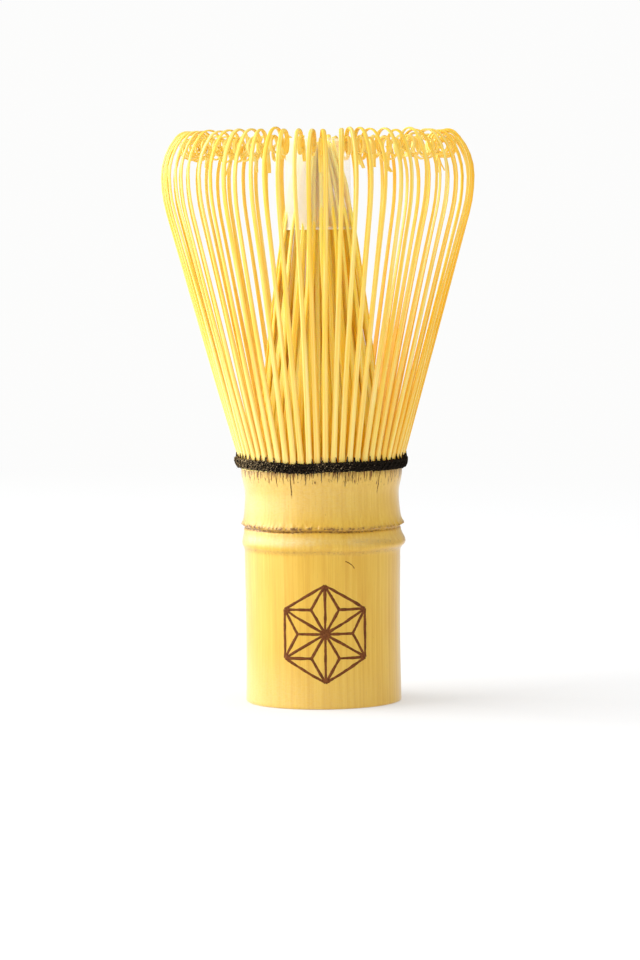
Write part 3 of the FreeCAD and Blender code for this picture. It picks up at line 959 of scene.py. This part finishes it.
def inner_tine_groups():
    """Sixteen pieces of four strips, on four layers so that they cross without cutting in."""
    dice = np.random.default_rng(11)
    for stave in range(STAVES):
        shell = Shell()
        for number, layer in enumerate(LAYERS):
            add_inner_tine(shell, tine_azimuth(stave, number), layer, dice)
        label = f"{stave + 1:02d}"
        piece = shell.build(f"inner_strips_{label}", inner_bamboo, sharp=30)
        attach(piece, "culm")
        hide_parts(f"inner_tines_{label}")


# ---- thread

band_wave = waves(41, range(1, 7), power=0.8)
band_ripple = waves(43, range(9, 40), power=0.3)
speck_wave = waves(45, range(2, 12), power=0.5)


def band_middle(azimuth):
    """The height of the binding's middle: it rises on the left and dips left of the front."""
    rise = 0.38 * bell(apart(azimuth, 185), 38)
    dip = -0.3 * bell(apart(azimuth, FRONT - 18), 14)
    return BAND_MIDDLE + rise + dip + 0.05 * band_wave(azimuth) + 0.04 * band_ripple(azimuth)


def band_face(height):
    """The distance from the axis to the outside of the tines under the binding."""
    lean = math.tan(math.radians(SPLAY))
    return COLLAR_RADIUS + 0.06 + np.maximum(height - CROWN, 0) * lean


def specks_and_painted_light(azimuth):
    """How many pale undyed fibres show: some all round, and more on the lit left as painted light.
    """
    leftness = 0.5 - 0.5 * facing(azimuth, 0.0)
    return np.clip(0.9 * leftness**1.5 + 0.2 * speck_wave(azimuth), 0, 1)


def twist_places(twists):
    """The azimuths of a twisted ring's points, ten to each twist."""
    return np.linspace(0, 360, twists * 10, endpoint=False)


def add_twisted_ring(shell, radius, height, twists, thickness, seed, tint):
    """A ring of two-ply thread. radius, height and tint are for its twist_places."""
    azimuth = twist_places(twists)
    wave = waves(seed, range(3, 30), power=0.4)
    shade = np.broadcast_to(tint, len(azimuth))
    for ply in (0, 180):
        turn = np.radians(azimuth * twists + ply)
        out = radius + thickness * 0.5 * np.cos(turn)
        up = height + 0.04 * wave(azimuth) + thickness * 0.5 * np.sin(turn)
        path = around(azimuth, out, up)
        add_strand(shell, path, thickness * 0.66, shade, closed=True, fuzz=0.025, seed=seed + ply)


def add_tuft(shell, azimuth, middle, dice):
    """A tuft of thread drawn in between two tines, above the binding."""
    height = np.linspace(middle + 0.4, middle + 1.0 + dice.uniform(0.15, 1.15), 6)
    radius = band_face(height) + 0.02 + 0.4 * np.linspace(1, 0, 6)
    side = azimuth + dice.normal(0, 0.35) + np.linspace(0, dice.normal(0, 0.5), 6)
    thickness = np.array([0.26, 0.25, 0.2, 0.14, 0.08, 0.02])
    add_strand(shell, around(side, radius, height), thickness, specks_and_painted_light(azimuth), fuzz=0.03)


def add_stitch(shell, azimuth, middle, seed):
    """A slanting pass of thread over the rounds of the binding."""
    share = np.linspace(-1, 1, 7)
    height = middle + np.linspace(-0.85, 0.85, 7)
    slant = azimuth + TINE_PITCH * (0.5 + 0.42 * share)
    over = band_face(height) + 2 * THREAD + 0.08 - 0.22 * share**2
    path = around(slant, over, height)
    add_strand(shell, path, 0.2, specks_and_painted_light(azimuth), fuzz=0.03, seed=seed)


def add_tail(shell, azimuth, middle, dice):
    """An end of thread that runs down into a split, below the binding."""
    height = np.linspace(middle - 0.4, middle - 0.8 - dice.uniform(0.05, 0.55), 4)
    path = around(azimuth, band_face(height) + 0.02, height)
    add_strand(shell, path, np.array([0.28, 0.22, 0.14, 0.04]), specks_and_painted_light(azimuth) * 0.5)


def add_hair(shell, dice):
    """One loose fibre that stands off the binding."""
    azimuth = dice.uniform(0, 360)
    height = float(band_middle(azimuth)) + dice.uniform(-0.8, 0.85)
    radius = float(band_face(height)) + 0.45
    length = dice.uniform(0.25, 0.8)
    steps = np.linspace(0, 1, 4)
    curl = dice.normal(0, 1.2) * length
    droop = dice.normal(0, 0.6) * length
    out = radius + steps * length * dice.uniform(0.15, 0.8)
    path = around(azimuth + curl * steps**1.3 * 3.5, out, height + droop * steps**1.5)
    add_strand(shell, path, 0.028 * (1.05 - steps), 0.6, sides=3)


def outer_binding():
    """Three rounds of thread, what is drawn in between the tines, and the fuzz on them."""
    shell = Shell()
    for turn in range(BAND_ROUNDS):
        twists = 70 + 3 * turn
        azimuth = twist_places(twists)
        height = band_middle(azimuth) + (turn - 1) * ROUND_RISE
        radius = band_face(height) + THREAD
        add_twisted_ring(shell, radius, height, twists, THREAD, 50 + turn, specks_and_painted_light(azimuth))
    dice = np.random.default_rng(61)
    for gap in range(TINES):
        azimuth = gap * TINE_PITCH + dice.normal(0, 0.25)
        middle = float(band_middle(azimuth))
        add_tuft(shell, azimuth, middle, dice)
        add_tuft(shell, azimuth, middle, dice)
        add_stitch(shell, azimuth, middle, 300 + gap)
        add_tail(shell, azimuth, middle, dice)
    for _ in range(LOOSE_FIBRES):
        add_hair(shell, dice)
    piece = shell.build("outer_binding", thread)
    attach(piece, "culm")
    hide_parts("outer_lashing")


def inner_binding():
    """The thread's run between the outer and the inner tines, two rounds side by side."""
    low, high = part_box("inner_lashing")
    outer, height = high[0] / MM, low[2] / MM + 0.32
    shell = Shell()
    for number, radius in enumerate((outer - 0.3, outer - 0.82)):
        seed = 70 + number
        add_twisted_ring(shell, radius, height, twists=60, thickness=0.27, seed=seed, tint=0.2)
    piece = shell.build("inner_binding", thread)
    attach(piece, "culm")
    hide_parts("inner_lashing")


def binding_knot():
    """The knot at the back: an overhand knot in the thread with two short cut ends."""
    low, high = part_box("thread_knot")
    centre = (np.array(low) + np.array(high)) / 2 / MM
    shell = Shell()
    turn = np.linspace(0, 2 * np.pi, 90, endpoint=False)
    across = (np.sin(turn) + 2 * np.sin(2 * turn)) * 0.27
    up = (np.cos(turn) - 2 * np.cos(2 * turn)) * 0.22
    deep = -np.sin(3 * turn) * 0.26
    path = centre + np.stack([across, deep, up], axis=-1)
    add_strand(shell, path, 0.21, 0.3, sides=8, closed=True)
    step = np.linspace(0, 1, 8)
    for side in (-1, 1):
        across, deep = side * (0.2 + 1.6 * step), 0.1 + 0.25 * np.sin(3 * step)
        tail = np.stack([across, deep, -1.5 * step**1.4], axis=-1)
        add_strand(shell, centre + tail, 0.2 - 0.04 * step, 0.4, sides=8)
    piece = shell.build("binding_knot", thread)
    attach(piece, "culm")
    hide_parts("thread_knot")


# ---- sleeve

WRAP_START = 182.0
WRAP_OVERLAP = 70.0


def tip_wrap():
    """The film sleeve: a strip rolled round the inner tines, its ends overlapping on the left."""
    wave = waves(81, (2, 3, 4, 6), power=0.6)
    azimuth = np.linspace(WRAP_START, WRAP_START + 360 + WRAP_OVERLAP, 160)
    lap = 0.16 * smooth_step(azimuth, WRAP_START + 330, WRAP_START + 372)
    doubled = (azimuth < WRAP_START + WRAP_OVERLAP) | (azimuth > WRAP_START + 360)
    foot, head = [SLEEVE_BASE, SLEEVE_BASE + 0.12], [SLEEVE_TOP - 0.12, SLEEVE_TOP]
    body = np.linspace(foot[1] + 0.5, head[0] - 0.5, 22)
    heights = np.concatenate([foot, body, head])[:, None]
    share = (heights - SLEEVE_BASE) / (SLEEVE_TOP - SLEEVE_BASE)
    radius = SLEEVE_RADIUS - 0.2 - 0.35 * share + lap
    radius = radius + 0.07 * wave(azimuth) * (0.4 + share)
    edge = 0.05 * wave(azimuth + 90) * (share > 0.99)
    points = around(azimuth[None, :], radius, heights + edge).reshape(-1, 3)
    columns = len(azimuth)
    faces = []
    for row in range(len(heights) - 1):
        for column in range(columns - 1):
            here = row * columns + column
            faces.append((here, here + 1, here + 1 + columns, here + columns))
    tint = np.where(doubled, 0.55, 0.0) * np.ones_like(heights)
    tint[:2], tint[-2:] = 1.0, 0.7
    tint[:, :1], tint[:, -1:] = 0.8, 0.8
    shell = Shell()
    shell.add(points, faces, points, tint.ravel())
    piece = shell.build("tip_wrap", film)
    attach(piece, "sleeve")
    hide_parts("tip_sleeve")


# ---- studio

FLOOR_RADIUS = 3000.0
FLOOR_GAP = 0.02

# strengths of the surround: as a light, in reflections and as the camera sees it
FILL = 0.93
REFLECTED = 0.25
SEEN = 1.0

# lamps and camera: places in metres, roll in degrees, lens and sensor in mm
LAMP_COLOUR = (1.0, 0.99, 0.97)
LAMP_AIM = (0, 0, 0.05)
EYE = (-0.0003, -0.695, 0.088)
EYE_AIM = (-0.0003, 0, 0.0428)
EYE_ROLL = 0.6
LENS = 135.0
SENSOR = 36.0


def lay_floor():
    """A plain round floor, a hair below the culm's cut end."""
    mesh = bpy.data.meshes.new("floor")
    rim = [tuple(around(turn, FLOOR_RADIUS, 0.0) * MM) for turn in range(0, 360, 5)]
    mesh.from_pydata(rim, [], [tuple(range(len(rim)))])
    mesh.materials.append(plain_floor())
    ground = bpy.data.objects.new("floor", mesh)
    ground.location.z = -FLOOR_GAP * MM
    bpy.context.scene.collection.objects.link(ground)


def even_surround():
    """An even pale world. It is darker in reflections, as with dark cards round the table."""
    world = bpy.data.worlds.new("surround")
    world.use_nodes = True
    nodes, links = world.node_tree.nodes, world.node_tree.links
    rays = nodes.new("ShaderNodeLightPath").outputs
    fill = nodes["Background"]
    fill.inputs["Color"].default_value = (*SURROUND, 1.0)
    fill.inputs["Strength"].default_value = FILL
    lit = fill.outputs["Background"]
    for ray, strength in (("Is Glossy Ray", REFLECTED), ("Is Camera Ray", SEEN)):
        background = nodes.new("ShaderNodeBackground")
        background.inputs["Color"].default_value = (*SURROUND, 1.0)
        background.inputs["Strength"].default_value = strength
        choice = nodes.new("ShaderNodeMixShader")
        links.new(rays[ray], choice.inputs["Fac"])
        links.new(lit, choice.inputs[1])
        links.new(background.outputs["Background"], choice.inputs[2])
        lit = choice.outputs["Shader"]
    links.new(lit, nodes["World Output"].inputs["Surface"])
    bpy.context.scene.world = world


def look_at(thing, place, aim):
    """Puts a light or a camera at a place in metres and points it. Returns the way it looks."""
    thing.location = place
    way = Vector(aim) - thing.location
    thing.rotation_mode = "QUATERNION"
    thing.rotation_quaternion = way.to_track_quat("-Z", "Y")
    return way


def soft_light(name, place, size, power):
    """A rectangular light that looks at the whisk and isn't seen itself."""
    light = bpy.data.lights.new(name, "AREA")
    light.shape = "RECTANGLE"
    light.size, light.size_y = size
    light.energy = power
    light.color = LAMP_COLOUR
    lamp = bpy.data.objects.new(name, light)
    lamp.visible_camera = False
    look_at(lamp, place, LAMP_AIM)
    bpy.context.scene.collection.objects.link(lamp)


def studio():
    """A pale floor and surround, a large soft light on the left and a weaker one behind it."""
    lay_floor()
    even_surround()
    soft_light("key", place=(-1.1, -0.14, 0.5), size=(1.3, 0.7), power=14.4)
    soft_light("rim", place=(-0.8, 0.5, 0.25), size=(0.5, 0.9), power=4.5)


def camera():
    """A long lens a little above the middle of the whisk, rolled slightly as it was held."""
    lens = bpy.data.cameras.new("camera")
    lens.sensor_width = SENSOR
    lens.lens = LENS
    lens.clip_start = 0.01
    eye = bpy.data.objects.new("camera", lens)
    way = look_at(eye, EYE, EYE_AIM)
    roll = Matrix.Rotation(math.radians(EYE_ROLL), 3, way.normalized())
    level = way.to_track_quat("-Z", "Y").to_matrix()
    eye.rotation_quaternion = (roll @ level).to_quaternion()
    bpy.context.scene.collection.objects.link(eye)
    bpy.context.scene.camera = eye
    bpy.context.scene.view_settings.view_transform = "Standard"


# pale, middle and deep
OUTER_COLOURS = (0.96, 0.79, 0.31), (0.915, 0.63, 0.07), (0.87, 0.43, 0.003)
INNER_COLOURS = (0.99, 0.81, 0.28), (0.98, 0.70, 0.09), (0.98, 0.49, 0.006)

skin = culm_skin()
outer_bamboo = bamboo("outer_bamboo", *OUTER_COLOURS, through=0.3)
inner_bamboo = bamboo("inner_bamboo", *INNER_COLOURS, through=0.8)
thread = black_thread()
film = sleeve_film()
burned = burned_line()

camera()
studio()
culm_body()
hemp_leaf_mark()
scratch()
outer_tine_groups()
inner_tine_groups()
outer_binding()
inner_binding()
binding_knot()
tip_wrap()
